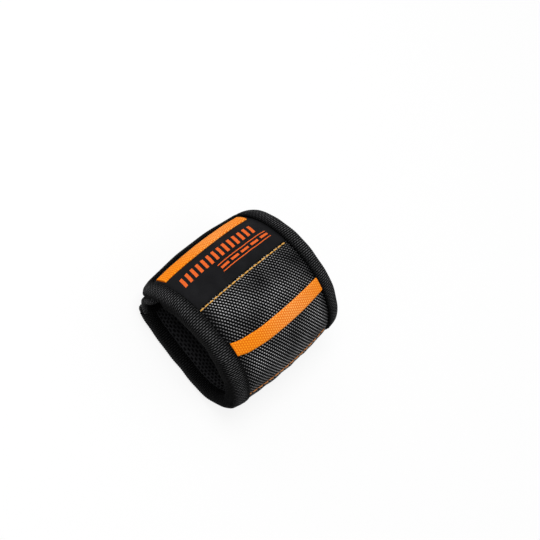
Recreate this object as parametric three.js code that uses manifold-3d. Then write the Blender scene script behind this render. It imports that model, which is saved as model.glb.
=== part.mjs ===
// Magnetic wristband, closed into a flattened loop and lying on its back.
// A padded band of fabric, foam and mesh lining holds rows of bar magnets. A thin flap at one end
// carries hook tape and closes over the loop pile of a thin tail at the other end.
// Millimetres. X runs across the band (near edge at -X, far edge at +X), Z is up, the label side is on top,
// and the origin lies on the table under the middle of the loop.
// Pieces are laid out flat as along / across / out, then bent round the loop by bend().

import * as THREE from "three";
import { mergeVertices } from "three/addons/utils/BufferGeometryUtils.js";
import Module from "manifold-3d";

const wasm = await Module();
wasm.setup();

const { degToRad, smoothstep } = THREE.MathUtils;

// Loop outline: the pad's outer face, seen along X. From the top, each side follows a wide arc, a closer
// arc, a tight turn between two angles, and a corner that ends on the flat underside
const LOOP_HEIGHT = 56;
const TOP_RADIUS = 52;
const TOP_SWEEP = degToRad(30);
const SIDE_RADIUS = 40;
const TURN_RADIUS = 14;
const FRONT_TURN = [degToRad(63), degToRad(112)];
const CLOSURE_TURN = [degToRad(76), degToRad(128)];
const BAND_WIDTH = 88;
// The band is barrel shaped: its edges lie this much further in than its middle
const CROWN = 4.2;
const CROWN_FULL_ANGLE = degToRad(90);
const CROWN_END_ANGLE = degToRad(150);

// Lengths along the band, and the stations of its sewn folds counted from the top of the loop
const FRONT_FOLD = 50.3;
const WOVEN_LENGTH = 67.5;
const LABEL_LENGTH = 27.7;
const FLAP_LENGTH = 23.1;
const END_GAP = 12;
const SIDE_PANEL_LENGTH = 30;
const TAIL_TIP_GAP = 2;

// Layers of the pad, from the outer face in
const FABRIC = 0.8;
const FOAM = 4;
const LINING = 1.8;
const LAYER_GAP = 0.2;
const FOLD_GAP = 0.6;

// Closure: flap web with hook tape, tail web with loop pile
const FLAP_WEB = 2.2;
const TAIL_WEB = 2.2;
const HOOK = 1.1;
const PILE = 1.1;
const HOOK_GAP = 0.3;
const END_CORNER = 12;

// Binding tape that wraps every edge
const BINDING_WIDTH = 10;
const INNER_FLANGE = 6;
const TAIL_FLANGE = 5;
const BINDING_ROLL = 1.2;
const TAPE = 1;

// Orange strips and sewing thread
const STRIP_WIDTH = 9.3;
const STRIP = 1;
const LOWER_STRIP_FROM_FOLD = 34.55;
const UPPER_STRIP_FROM_FOLD = 7.1;
const THREAD_WIDTH = 1;
const THREAD_HEIGHT = 0.7;
const THREAD_LOW = 0.25;
const STITCH = 4;
const THREAD_FROM_FOLD = 1.2;

// Bar magnets, each in its own window of the foam
const MAGNET_LENGTH = 18;
const MAGNET_WIDTH = 10;
const MAGNET_THICKNESS = 2.6;
const MAGNET_CLEARANCE = 0.3;
const MAGNETS_ACROSS = 3;
const WOVEN_ROWS = 3;
const LABEL_ROWS = 1;
const SIDE_ROWS = 1;

// Fineness of the faceted surfaces
const FACET_ANGLE = degToRad(7.5);
const COLUMNS = 6;
const CORNER_STEPS = 4;
const FLANGE_STEPS = 3;
const SHORTEST_FACET = 1;

// Derived: outline
const EDGE_RISE = LAYER_GAP + BINDING_ROLL;
const TOP_Z = LOOP_HEIGHT + EDGE_RISE;
const FRONT_ARCS = sideArcs(FRONT_TURN);
const CLOSURE_ARCS = sideArcs(CLOSURE_TURN);
const FRONT_BREAKS = arcBreaks(FRONT_ARCS);
const CLOSURE_BREAKS = arcBreaks(CLOSURE_ARCS);
const FRONT_TURN_END = arcBreaks(FRONT_ARCS.slice(0, 3)).at(-1);
const FRONT_RUN = FRONT_BREAKS.at(-1);
const CLOSURE_RUN = CLOSURE_BREAKS.at(-1);
const FLAT_RUN = follow(FRONT_ARCS, FRONT_RUN).reach + follow(CLOSURE_ARCS, CLOSURE_RUN).reach;
const LOOP_LENGTH = FRONT_RUN + FLAT_RUN + CLOSURE_RUN;
const FACET_STATIONS = [
  ...CLOSURE_BREAKS.map((b) => -b),
  ...FRONT_BREAKS,
  ...CLOSURE_BREAKS.map((b) => LOOP_LENGTH - b),
];

// Derived: stations along the band
const LABEL_FOLD = FRONT_FOLD - WOVEN_LENGTH;
const FLAP_FOLD = LABEL_FOLD - LABEL_LENGTH;
const FLAP_END = FLAP_FOLD - FLAP_LENGTH;
const TAIL_FOLD = FLAP_END - END_GAP;
const TAIL_TIP = FLAP_FOLD - TAIL_TIP_GAP;
const SIDE_END = FRONT_FOLD + SIDE_PANEL_LENGTH;
const BACK_END = LOOP_LENGTH + TAIL_FOLD - FOLD_GAP / 2;

// Derived: layers as [low, high] heights, zero at the pad's outer face
const HALF_BAND = BAND_WIDTH / 2;
const HALF_LAYER = HALF_BAND - TAPE - LAYER_GAP;
const HALF_PANEL = HALF_BAND - BINDING_WIDTH - LAYER_GAP;
const FABRIC_LAYER = [-FABRIC, 0];
const FOAM_LAYER = [-FABRIC - LAYER_GAP - FOAM, -FABRIC - LAYER_GAP];
const LINING_LAYER = [FOAM_LAYER[0] - LAYER_GAP - LINING, FOAM_LAYER[0] - LAYER_GAP];
const PAD_LAYER = [LINING_LAYER[0], 0];
const FLAP_LAYER = [-FLAP_WEB, 0];
const HOOK_LAYER = [-FLAP_WEB - LAYER_GAP - HOOK, -FLAP_WEB - LAYER_GAP];
const PILE_LAYER = [HOOK_LAYER[0] - HOOK_GAP - PILE, HOOK_LAYER[0] - HOOK_GAP];
const TAIL_LAYER = [PILE_LAYER[0] - LAYER_GAP - TAIL_WEB, PILE_LAYER[0] - LAYER_GAP];
const STRIP_LAYER = [LAYER_GAP, LAYER_GAP + STRIP];

// Follows a side's arcs from the top of the loop, and the flat under it once the arcs are used up
function follow(arcs, length) {
  let rest = length;
  let angle = 0;
  let reach = 0;
  let drop = 0;
  for (const { radius, until } of arcs) {
    const turn = Math.min(rest / radius, until - angle);
    reach += radius * (Math.sin(angle + turn) - Math.sin(angle));
    drop += radius * (Math.cos(angle) - Math.cos(angle + turn));
    angle += turn;
    rest -= radius * turn;
  }
  return { reach: reach - rest, drop, angle };
}

// The arcs of one side; the last one is as wide as the height left under the tight turn asks for
function sideArcs(turn) {
  const arcs = [
    { radius: TOP_RADIUS, until: TOP_SWEEP },
    { radius: SIDE_RADIUS, until: turn[0] },
    { radius: TURN_RADIUS, until: turn[1] },
  ];
  const { drop } = follow(arcs, arcBreaks(arcs).at(-1));
  const corner = (LOOP_HEIGHT - drop) / (1 + Math.cos(turn[1]));
  return [...arcs, { radius: corner, until: Math.PI }];
}

// Distances from the top of the loop at which the facets of a side meet
function arcBreaks(arcs) {
  const breaks = [0];
  let angle = 0;
  for (const { radius, until } of arcs) {
    const start = breaks.at(-1);
    const sweep = until - angle;
    const facets = Math.ceil(sweep / FACET_ANGLE - 1e-6);
    for (let i = 1; i <= facets; i++) {
      breaks.push(start + (radius * sweep * i) / facets);
    }
    angle = until;
  }
  return breaks;
}

function outlineAt(along) {
  const wrapped = along > FRONT_RUN + FLAT_RUN / 2 ? along - LOOP_LENGTH : along;
  const side = wrapped < 0 ? -1 : 1;
  const { reach, drop, angle } = follow(side < 0 ? CLOSURE_ARCS : FRONT_ARCS, Math.abs(wrapped));
  return { y: -side * reach, z: TOP_Z - drop, angle: side * angle };
}

// Maps a point of the flat layout to its place on the loop
function bend(along, across, out) {
  const { y, z, angle } = outlineAt(along);
  const fade = 1 - smoothstep(Math.abs(angle), CROWN_FULL_ANGLE, CROWN_END_ANGLE);
  const height = out - CROWN * fade * (across / HALF_BAND) ** 2;
  return new THREE.Vector3(across, y - Math.sin(angle) * height, z + Math.cos(angle) * height);
}

// Frame on the band: X across, Y along, Z out
function frameAt(along, across, out) {
  const step = 0.01;
  const origin = bend(along, across, out);
  const x = bend(along, across + step, out).sub(origin).normalize();
  const y = bend(along + step, across, out).sub(origin).normalize();
  const z = new THREE.Vector3().crossVectors(x, y).normalize();
  if (z.dot(bend(along, across, out + step).sub(origin)) < 0) {
    z.negate();
    y.negate();
  }
  y.crossVectors(z, x);
  return new THREE.Matrix4().makeBasis(x, y, z).setPosition(origin);
}

// A closed geometry from points and triangles, turned so that its faces point out
function solidGeometry(points, triangles) {
  const volume = triangles.reduce((sum, [a, b, c]) => {
    return sum + points[a].dot(new THREE.Vector3().crossVectors(points[b], points[c]));
  }, 0);
  const facing = volume < 0 ? triangles.map(([a, b, c]) => [a, c, b]) : triangles;
  const geometry = new THREE.BufferGeometry().setFromPoints(points);
  geometry.setIndex(facing.flat());
  return geometry;
}

function facetStations(from, to) {
  const inside = FACET_STATIONS.filter((s) => s > from + SHORTEST_FACET && s < to - SHORTEST_FACET);
  return [from, ...[...new Set(inside)].sort((a, b) => a - b), to];
}

// Half width of a sheet near an end with rounded corners
function roundedHalf(half, radius, fromEnd) {
  if (fromEnd >= radius) return half;
  return half - radius + Math.sqrt(radius ** 2 - (radius - fromEnd) ** 2);
}

// A sheet of the band between two stations, with an optional rounded end
function sheet({ from, to, half, layer, roundEnd = null, radius = 0 }) {
  const end = roundEnd === "from" ? from : to;
  const inward = roundEnd === "from" ? 1 : -1;
  let rows = facetStations(from, to);
  if (roundEnd) {
    rows = rows.filter((s) => Math.abs(s - end) > radius);
    for (let i = 0; i <= CORNER_STEPS; i++) {
      const turn = (Math.PI / 2) * (i / CORNER_STEPS);
      rows.push(end + inward * radius * (1 - Math.cos(turn)));
    }
    rows.sort((a, b) => a - b);
  }
  const points = [];
  for (const out of [layer[1], layer[0]]) {
    for (const along of rows) {
      const width = roundEnd ? roundedHalf(half, radius, Math.abs(along - end)) : half;
      for (let c = 0; c <= COLUMNS; c++) {
        points.push(bend(along, width * ((2 * c) / COLUMNS - 1), out));
      }
    }
  }
  const wide = COLUMNS + 1;
  const below = rows.length * wide;
  const triangles = [];
  const quad = (a, b, c, d) => triangles.push([a, b, c], [a, c, d]);
  for (let r = 0; r + 1 < rows.length; r++) {
    for (let c = 0; c < COLUMNS; c++) {
      const a = r * wide + c;
      quad(a, a + 1, a + wide + 1, a + wide);
      quad(below + a, below + a + wide, below + a + wide + 1, below + a + 1);
    }
    for (const [c, flip] of [[0, false], [COLUMNS, true]]) {
      const a = r * wide + c;
      if (flip) quad(a, below + a, below + a + wide, a + wide);
      else quad(a, a + wide, below + a + wide, below + a);
    }
  }
  for (let c = 0; c < COLUMNS; c++) {
    const last = (rows.length - 1) * wide + c;
    quad(c, below + c, below + c + 1, c + 1);
    quad(last, last + 1, below + last + 1, below + last);
  }
  return solidGeometry(points, triangles);
}

// Sweeps a closed section, given as [depth, out] points, along an edge of the flat layout
function sweepEdge(path, section) {
  const points = [];
  for (const { along, across, inAlong, inAcross } of path) {
    for (const [depth, out] of section) {
      points.push(bend(along + inAlong * depth, across + inAcross * depth, out));
    }
  }
  const size = section.length;
  const triangles = [];
  for (let p = 0; p + 1 < path.length; p++) {
    for (let i = 0; i < size; i++) {
      const a = p * size + i;
      const b = p * size + ((i + 1) % size);
      triangles.push([a, b, b + size], [a, b + size, a + size]);
    }
  }
  const contour = section.map(([depth, out]) => new THREE.Vector2(depth, out));
  const caps = THREE.ShapeUtils.triangulateShape(contour, []);
  const clockwise = THREE.ShapeUtils.isClockWise(contour);
  const last = (path.length - 1) * size;
  for (const [a, b, c] of caps) {
    const [first, second] = clockwise ? [b, c] : [c, b];
    triangles.push([a, first, second]);
    triangles.push([last + a, last + second, last + first]);
  }
  return solidGeometry(points, triangles);
}

// Section of a binding: a tape that wraps the edge of a layer, plump on both faces
function bindingSection([low, high], outerWidth, innerWidth) {
  const top = high + LAYER_GAP;
  const bottom = low - LAYER_GAP;
  const lip = 0.4 * BINDING_ROLL;
  const shoulder = 0.6 * BINDING_ROLL;
  const middle = 0.2 * (high - low);
  const underside = [];
  for (let i = 0; i < FLANGE_STEPS; i++) {
    underside.push([TAPE + ((outerWidth - TAPE) * i) / FLANGE_STEPS, top]);
  }
  return [
    [outerWidth, top],
    [outerWidth, top + lip],
    [0.65 * outerWidth, top + BINDING_ROLL],
    [0.3 * outerWidth, top + BINDING_ROLL],
    [0.1 * outerWidth, top + shoulder],
    [0, high - middle],
    [0, low + middle],
    [0.1 * innerWidth, bottom - shoulder],
    [0.3 * innerWidth, bottom - BINDING_ROLL],
    [0.65 * innerWidth, bottom - BINDING_ROLL],
    [innerWidth, bottom - lip],
    [innerWidth, bottom],
    [TAPE, bottom],
    ...underside,
  ];
}

// Straight edge of the band; side is -1 at the near edge and 1 at the far edge
function straightEdge(from, to, side) {
  return facetStations(from, to).map((along) => {
    return { along, across: side * HALF_BAND, inAlong: 0, inAcross: -side };
  });
}

// Edge that runs up one side of the band, round an end with rounded corners, and back
function roundEdge(root, tip) {
  const facing = Math.sign(tip - root);
  const start = tip - facing * END_CORNER;
  const straight = facetStations(Math.min(root, start), Math.max(root, start));
  if (facing < 0) straight.reverse();
  const sideRun = (side) => {
    const run = straight.slice(0, -1).map((along) => {
      return { along, across: side * HALF_BAND, inAlong: 0, inAcross: -side };
    });
    for (let i = 0; i <= CORNER_STEPS; i++) {
      const turn = (Math.PI / 2) * (i / CORNER_STEPS);
      const inAlong = -facing * Math.sin(turn);
      const inAcross = -side * Math.cos(turn);
      const across = side * (HALF_BAND - END_CORNER) - END_CORNER * inAcross;
      run.push({ along: start - END_CORNER * inAlong, across, inAlong, inAcross });
    }
    return run;
  };
  const flat = HALF_BAND - END_CORNER;
  const middle = [];
  for (let c = 1; c < COLUMNS; c++) {
    middle.push({ along: tip, across: flat * ((2 * c) / COLUMNS - 1), inAlong: -facing, inAcross: 0 });
  }
  return [...sideRun(-1), ...middle, ...sideRun(1).reverse()];
}

// A row of stitches across the band, drawn as one bead that rises over each stitch
function threadRow(along) {
  const stitches = Math.floor((2 * HALF_PANEL) / STITCH);
  const steps = 3 * stitches;
  const points = [];
  for (let i = 0; i <= steps; i++) {
    const across = HALF_PANEL * ((2 * i) / steps - 1);
    const height = i % 3 === 0 ? THREAD_LOW : THREAD_HEIGHT;
    for (const [shift, out] of [[-1, 0], [1, 0], [0.5, height], [-0.5, height]]) {
      points.push(bend(along + (shift * THREAD_WIDTH) / 2, across, LAYER_GAP + out));
    }
  }
  const triangles = [[0, 2, 1], [0, 3, 2]];
  for (let i = 0; i < steps; i++) {
    for (let k = 0; k < 4; k++) {
      const a = 4 * i + k;
      const b = 4 * i + ((k + 1) % 4);
      triangles.push([a, b, b + 4], [a, b + 4, a + 4]);
    }
  }
  const last = 4 * steps;
  triangles.push([last, last + 1, last + 2], [last, last + 2, last + 3]);
  return solidGeometry(points, triangles);
}

function toManifold(geometry) {
  const bare = new THREE.BufferGeometry().setAttribute("position", geometry.getAttribute("position"));
  bare.setIndex(geometry.getIndex());
  const merged = mergeVertices(bare, 1e-4);
  return new wasm.Manifold(
    new wasm.Mesh({
      numProp: 3,
      vertProperties: new Float32Array(merged.getAttribute("position").array),
      triVerts: new Uint32Array(merged.getIndex().array),
    }),
  );
}

function fromManifold(solid) {
  const mesh = solid.getMesh();
  const geometry = new THREE.BufferGeometry();
  geometry.setAttribute("position", new THREE.BufferAttribute(mesh.vertProperties, 3));
  geometry.setIndex(new THREE.BufferAttribute(mesh.triVerts, 1));
  return geometry;
}

// Frames of the magnets in a stretch of the pad, row by row
function magnetFrames(from, to, rows) {
  const middle = (FOAM_LAYER[0] + FOAM_LAYER[1]) / 2;
  const pitch = (2 * HALF_PANEL) / MAGNETS_ACROSS;
  const frames = [];
  for (let row = 0; row < rows; row++) {
    const along = from + ((to - from) * (row + 0.5)) / rows;
    for (let i = 0; i < MAGNETS_ACROSS; i++) {
      frames.push(frameAt(along, pitch * (i - (MAGNETS_ACROSS - 1) / 2), middle));
    }
  }
  return frames;
}

// The foam of a stretch of the pad, with a window for each magnet
function foamSheet(from, to, frames) {
  let foam = toManifold(sheet({ from, to, half: HALF_LAYER, layer: FOAM_LAYER }));
  const spare = 2 * MAGNET_CLEARANCE;
  for (const frame of frames) {
    const cutter = new THREE.BoxGeometry(MAGNET_LENGTH + spare, MAGNET_WIDTH + spare, 2 * FOAM);
    cutter.deleteAttribute("normal");
    cutter.deleteAttribute("uv");
    foam = foam.subtract(toManifold(cutter.applyMatrix4(frame)));
  }
  return fromManifold(foam);
}

function finish(colour, roughness, metalness = 0) {
  return new THREE.MeshStandardMaterial({ color: colour, roughness, metalness });
}

const MATERIALS = {
  nylon: finish(0x17181b, 0.7),
  label: finish(0x101114, 0.6),
  binding: finish(0x131416, 0.75),
  orange: finish(0xff8f1f, 0.6),
  yellowThread: finish(0xe5a63a, 0.55),
  orangeThread: finish(0xd9803c, 0.55),
  foam: finish(0x2b2c2f, 0.95),
  lining: finish(0x18191b, 0.9),
  hook: finish(0x0f0f10, 0.8),
  pile: finish(0x1c1c1e, 1),
  magnet: finish(0xc9cbcd, 0.3, 1),
};

function place(group, name, geometry, material) {
  const mesh = new THREE.Mesh(geometry, material);
  mesh.name = name;
  group.add(mesh);
  return mesh;
}

function placeMagnets(group, prefix, frames) {
  frames.forEach((frame, i) => {
    const block = new THREE.BoxGeometry(MAGNET_LENGTH, MAGNET_WIDTH, MAGNET_THICKNESS);
    const magnet = place(group, `${prefix}_magnet_${i + 1}`, block, MATERIALS.magnet);
    magnet.applyMatrix4(frame);
  });
}

// Foam, lining, magnets and edge bindings of one stretch of the pad
function placePad(group, prefix, from, to, frames) {
  const section = bindingSection(PAD_LAYER, BINDING_WIDTH, INNER_FLANGE);
  const lining = sheet({ from, to, half: HALF_LAYER, layer: LINING_LAYER });
  place(group, `${prefix}_foam`, foamSheet(from, to, frames), MATERIALS.foam);
  place(group, `${prefix}_lining`, lining, MATERIALS.lining);
  placeMagnets(group, prefix, frames);
  for (const [edge, side] of [["near", -1], ["far", 1]]) {
    const binding = sweepEdge(straightEdge(from, to, side), section);
    place(group, `${prefix}_binding_${edge}`, binding, MATERIALS.binding);
  }
}

function orangeStrip(along) {
  const from = along - STRIP_WIDTH / 2;
  return sheet({ from, to: from + STRIP_WIDTH, half: HALF_PANEL, layer: STRIP_LAYER });
}

// Front: woven panel with the lower orange strip and the two sewn seams
function frontSection() {
  const group = new THREE.Group();
  const from = LABEL_FOLD + FOLD_GAP / 2;
  const to = FRONT_FOLD - FOLD_GAP / 2;
  placePad(group, "front", from, to, magnetFrames(LABEL_FOLD, FRONT_FOLD, WOVEN_ROWS));
  const woven = sheet({ from, to, half: HALF_LAYER, layer: FABRIC_LAYER });
  place(group, "front_woven_panel", woven, MATERIALS.nylon);
  place(group, "lower_orange_strip", orangeStrip(FRONT_FOLD - LOWER_STRIP_FROM_FOLD), MATERIALS.orange);
  place(group, "label_seam_thread", threadRow(LABEL_FOLD + THREAD_FROM_FOLD), MATERIALS.yellowThread);
  place(group, "fold_seam_thread", threadRow(FRONT_FOLD - THREAD_FROM_FOLD), MATERIALS.orangeThread);
  return group;
}

// Label section: smooth panel
function labelSection() {
  const group = new THREE.Group();
  const from = FLAP_FOLD + FOLD_GAP / 2;
  const to = LABEL_FOLD - FOLD_GAP / 2;
  placePad(group, "label", from, to, magnetFrames(FLAP_FOLD, LABEL_FOLD, LABEL_ROWS));
  const panel = sheet({ from, to, half: HALF_LAYER, layer: FABRIC_LAYER });
  place(group, "label_panel", panel, MATERIALS.label);
  return group;
}

// Back: woven side panel and loop pile panel round the rest of the loop, bound at its end
function backSection() {
  const group = new THREE.Group();
  const from = FRONT_FOLD + FOLD_GAP / 2;
  const to = BACK_END - TAPE - LAYER_GAP;
  placePad(group, "back", from, to, magnetFrames(FRONT_TURN_END, SIDE_END, SIDE_ROWS));
  const side = sheet({ from, to: SIDE_END - LAYER_GAP, half: HALF_LAYER, layer: FABRIC_LAYER });
  place(group, "side_woven_panel", side, MATERIALS.nylon);
  const pile = sheet({ from: SIDE_END, to, half: HALF_LAYER, layer: FABRIC_LAYER });
  place(group, "back_pile_panel", pile, MATERIALS.pile);
  const endPath = [];
  const endHalf = HALF_BAND - BINDING_WIDTH - LAYER_GAP;
  for (let c = 0; c <= COLUMNS; c++) {
    endPath.push({ along: BACK_END, across: endHalf * ((2 * c) / COLUMNS - 1), inAlong: -1, inAcross: 0 });
  }
  const section = bindingSection(PAD_LAYER, INNER_FLANGE, INNER_FLANGE);
  place(group, "back_end_binding", sweepEdge(endPath, section), MATERIALS.binding);
  return group;
}

// Flap: web with the upper orange strip outside and hook tape inside, bound round its end
function flapSection() {
  const group = new THREE.Group();
  const root = FLAP_FOLD - FOLD_GAP / 2;
  const inset = TAPE + LAYER_GAP;
  const web = sheet({
    from: FLAP_END + inset,
    to: root,
    half: HALF_LAYER,
    layer: FLAP_LAYER,
    roundEnd: "from",
    radius: END_CORNER - inset,
  });
  place(group, "flap_web", web, MATERIALS.label);
  place(group, "upper_orange_strip", orangeStrip(FLAP_FOLD - UPPER_STRIP_FROM_FOLD), MATERIALS.orange);
  const hook = sheet({
    from: FLAP_END + INNER_FLANGE + LAYER_GAP,
    to: root,
    half: HALF_BAND - INNER_FLANGE - LAYER_GAP,
    layer: HOOK_LAYER,
    roundEnd: "from",
    radius: END_CORNER - INNER_FLANGE - LAYER_GAP,
  });
  place(group, "hook_patch", hook, MATERIALS.hook);
  const section = bindingSection(FLAP_LAYER, BINDING_WIDTH, INNER_FLANGE);
  place(group, "flap_binding", sweepEdge(roundEdge(root, FLAP_END), section), MATERIALS.binding);
  return group;
}

// Tail: web with loop pile on its outer face, bound round its tip
function tailSection() {
  const group = new THREE.Group();
  const root = TAIL_FOLD + FOLD_GAP / 2;
  const inset = TAPE + LAYER_GAP;
  const web = sheet({
    from: root,
    to: TAIL_TIP - inset,
    half: HALF_LAYER,
    layer: TAIL_LAYER,
    roundEnd: "to",
    radius: END_CORNER - inset,
  });
  place(group, "tail_web", web, MATERIALS.label);
  const pile = sheet({
    from: root,
    to: TAIL_TIP - TAIL_FLANGE - LAYER_GAP,
    half: HALF_BAND - TAIL_FLANGE - LAYER_GAP,
    layer: PILE_LAYER,
    roundEnd: "to",
    radius: END_CORNER - TAIL_FLANGE - LAYER_GAP,
  });
  place(group, "tail_pile_field", pile, MATERIALS.pile);
  const section = bindingSection(TAIL_LAYER, TAIL_FLANGE, TAIL_FLANGE);
  place(group, "tail_binding", sweepEdge(roundEdge(root, TAIL_TIP), section), MATERIALS.binding);
  return group;
}

const wristband = new THREE.Group();
wristband.add(backSection(), frontSection(), labelSection(), flapSection(), tailSection());
const middle = new THREE.Box3().setFromObject(wristband).getCenter(new THREE.Vector3());
wristband.position.y = -middle.y;

export default wristband;
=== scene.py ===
# Magnetic wristband: fabrics, bindings, webbing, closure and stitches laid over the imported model.
# Every soft piece is laid out flat as along / across / out in millimetres, as the band was sewn,
# and then bent round the loop by bend(), which gives metres in the model's frame.

import math

import bpy
import numpy as np
from mathutils import Matrix, Vector


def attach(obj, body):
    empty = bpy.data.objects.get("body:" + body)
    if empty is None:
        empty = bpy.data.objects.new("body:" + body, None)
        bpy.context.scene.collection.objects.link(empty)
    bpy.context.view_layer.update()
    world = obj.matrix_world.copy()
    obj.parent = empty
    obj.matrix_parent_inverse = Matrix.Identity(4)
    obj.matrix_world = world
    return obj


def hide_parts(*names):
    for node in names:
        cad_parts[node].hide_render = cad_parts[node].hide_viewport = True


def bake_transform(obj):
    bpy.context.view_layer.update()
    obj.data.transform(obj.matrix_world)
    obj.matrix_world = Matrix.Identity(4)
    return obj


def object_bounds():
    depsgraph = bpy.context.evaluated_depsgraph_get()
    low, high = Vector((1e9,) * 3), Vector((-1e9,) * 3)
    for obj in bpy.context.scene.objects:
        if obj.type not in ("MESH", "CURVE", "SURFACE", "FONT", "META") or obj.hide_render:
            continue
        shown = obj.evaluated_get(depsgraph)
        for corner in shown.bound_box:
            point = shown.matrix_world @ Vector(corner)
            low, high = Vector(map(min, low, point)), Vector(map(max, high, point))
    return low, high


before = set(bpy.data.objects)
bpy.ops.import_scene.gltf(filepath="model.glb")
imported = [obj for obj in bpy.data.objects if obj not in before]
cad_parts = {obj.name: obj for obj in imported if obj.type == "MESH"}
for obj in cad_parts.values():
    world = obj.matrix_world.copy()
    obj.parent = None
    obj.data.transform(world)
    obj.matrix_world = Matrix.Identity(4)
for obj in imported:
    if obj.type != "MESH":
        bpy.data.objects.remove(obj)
cad_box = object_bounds()

# Loop outline, as in the model
LOOP_HEIGHT = 56.0
TOP_RADIUS = 52.0
TOP_SWEEP = math.radians(30)
SIDE_RADIUS = 40.0
TURN_RADIUS = 14.0
FRONT_TURN = (math.radians(63), math.radians(112))
CLOSURE_TURN = (math.radians(76), math.radians(128))
LOOP_SHIFT = -1.7
EDGE_RISE = 1.4
HALF_BAND = 44.0
CROWN = 4.2
CROWN_FULL_ANGLE = math.radians(90)
CROWN_END_ANGLE = math.radians(150)

# Stations of the folds, ends and strips, counted along the band from the top of the loop
FRONT_FOLD = 50.3
LABEL_FOLD = -17.2
FLAP_FOLD = -44.9
FLAP_END = -68.0
TAIL_FOLD = -80.0
TAIL_TIP = -46.9
SIDE_END = 80.3
LOWER_STRIP = 15.75
UPPER_STRIP = -52.0

# Stretches over which fabric bends at each fold
LABEL_BEND = (-9.2, -25.2)
FRONT_BEND = (41.3, 59.3)
FLAP_BEND = (-39.5, -47.3)
TAIL_BEND = (-83.0, -77.0)

# Where one length of fabric or binding meets the next
TAIL_ROOT = TAIL_FOLD - 2.6
FRONT_SPLIT = LOWER_STRIP
LABEL_SPLIT = -31.0
FLAP_SPLIT = -36.0

# Layers, zero at the pad's outer face
FABRIC = 0.8
THINNEST_FABRIC = 0.3
PAD = 7.0
FLAP_WEB = 2.2
HOOK_LAYER = (-3.5, -2.4)
PILE_LAYER = (-4.9, -3.8)
BACK_PILE_LAYER = (-FABRIC, 0.1)
TAIL_LAYER = (-7.3, -5.1)
STRIP = 1.0

# Binding tapes: how far their lips lap over the band, and how they go round an end
BINDING_WIDTH = 10.0
NEAR_WIDTH = 8.5
NEAR_WIDENING = 1.7
LIP_CHANGE = 30.0
INNER_FLANGE = 6.0
TAIL_FLANGE = 5.0
END_CORNER = 12.0
END_CAP = 3.6
END_CAP_REACH = 0.2
END_SWELL = 0.3
CLOSED_SHARE = 0.06
BACK_LAP = 4.6

# Clearances: how far pieces stop from a lip, a fold, an edge or an end
LIP_GAP = 0.2
FOLD_GAP = 0.3
SEAM_GAP = 0.15
PILE_GAP = 0.1
PANEL_INSET = 1.4
LINING_INSET = 3.4
END_INSET = 1.2

# Lines across the band where the cover meets the lips of the bindings
PANEL_NEAR = -(HALF_BAND - NEAR_WIDTH + LIP_GAP)
PANEL_FAR = HALF_BAND - BINDING_WIDTH - LIP_GAP

# Outline of a binding tape: share of its lip's depth, and height above the layer that it wraps
OUTER_LIP = ((1.0, 0.2), (0.985, 0.75), (0.92, 1.1), (0.7, 1.3), (0.42, 1.28), (0.2, 0.9), (0.06, -0.05))
INNER_LIP = ((0.08, -0.05), (0.25, 0.8), (0.5, 1.15), (0.8, 1.1), (0.97, 0.7), (1.0, 0.2))
WRAP_GAP = 0.15
EDGE_SHOULDER = 0.28
EDGE_BULGE = 0.05
TAPER_CENTRE = 0.4

# Ribs of the tapes, and slow waves along them: height, radians per millimetre and phase
RIB_PITCH = 1.3
RIB_STEP = RIB_PITCH / 4
RIB_HEIGHT = 0.13
RIB_FADE = 4
TAPE_SAG = ((0.2, 0.19, 1.0), (0.1, 0.43, 0.0))
TAPE_LIFT = (0.1, 0.27, 2.0)

# Orange strips: station, width and both ends across; slant of the lower one's near end, bow of the upper
LOWER_STRIP_PLACE = (LOWER_STRIP + 0.4, 8.7, PANEL_NEAR + 1.5, PANEL_FAR)
UPPER_STRIP_PLACE = (UPPER_STRIP + 1.1, 9.7, -33.8, 31.0)
STRIP_SKEW = 1.6
SKEW_STRETCHES = ((-12.0, 24.0), (-27.0, 9.0))
STRIP_BOW = 1.6
STRIP_EDGE = 0.25
STRIP_EDGE_EASE = 0.3
STRIP_ROUNDING = 1.1
STRIP_LIFT = 0.04
STRIP_ROWS = 17
STRIP_SMOOTHING = (-9, -6, -3, 0, 3, 6, 9)
WEBBING_PITCH = 1.35
WEBBING_STEP = WEBBING_PITCH / 6
WEBBING_PICK = 1.55
WEBBING_RIB = 0.07

# Stitches: length, pitch, lift and radius of the thread
YELLOW_STITCH = (3.1, 3.4, 0.32, 0.42)
ORANGE_STITCH = (3.9, 4.1, 0.25, 0.34)
LIP_STITCH = (2.6, 3.4, 0.1, 0.2)
STITCH_FROM_FOLD = 1.2
STITCH_FROM_EDGE = 0.3
LIP_STITCH_START = 0.4
LIP_STITCH_DEPTH = 0.86
LIP_STITCH_HEIGHT = 1.32
THREAD_POWER = 3.0
THREAD_TIP = 0.03

# Cloth simulation of the covers, run on their flat layout at ten times their size
COVER_GRID = 1.4
LINING_GRID = 2.2
CLOTH_SCALE = 0.01
CLOTH_FRAMES = 36
CLOTH_QUALITY = 6
CLOTH_MASS = 0.2
CLOTH_PRESSURE = 0.045
CLOTH_GATHER = 0.01
GATHER_REACH = 5.0
CLOTH_BENDING = 0.12
SEAM_HALF_WIDTH = 0.8
COVER_HEM = 1.0
LINING_HEM = 3.0

# Seams pressed into the cover, and the cover's edge tucked under the bindings
EDGE_SEAM_DEPTH = 0.4
EDGE_SEAM_SPREAD = 1.5
LABEL_SEAM_DEPTH = 0.45
LABEL_SEAM_SPREAD = 1.1
TUCK_WIDTH = 3.0
TUCK_SLOPE = 4.0
COVER_SINK = 0.05

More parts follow.
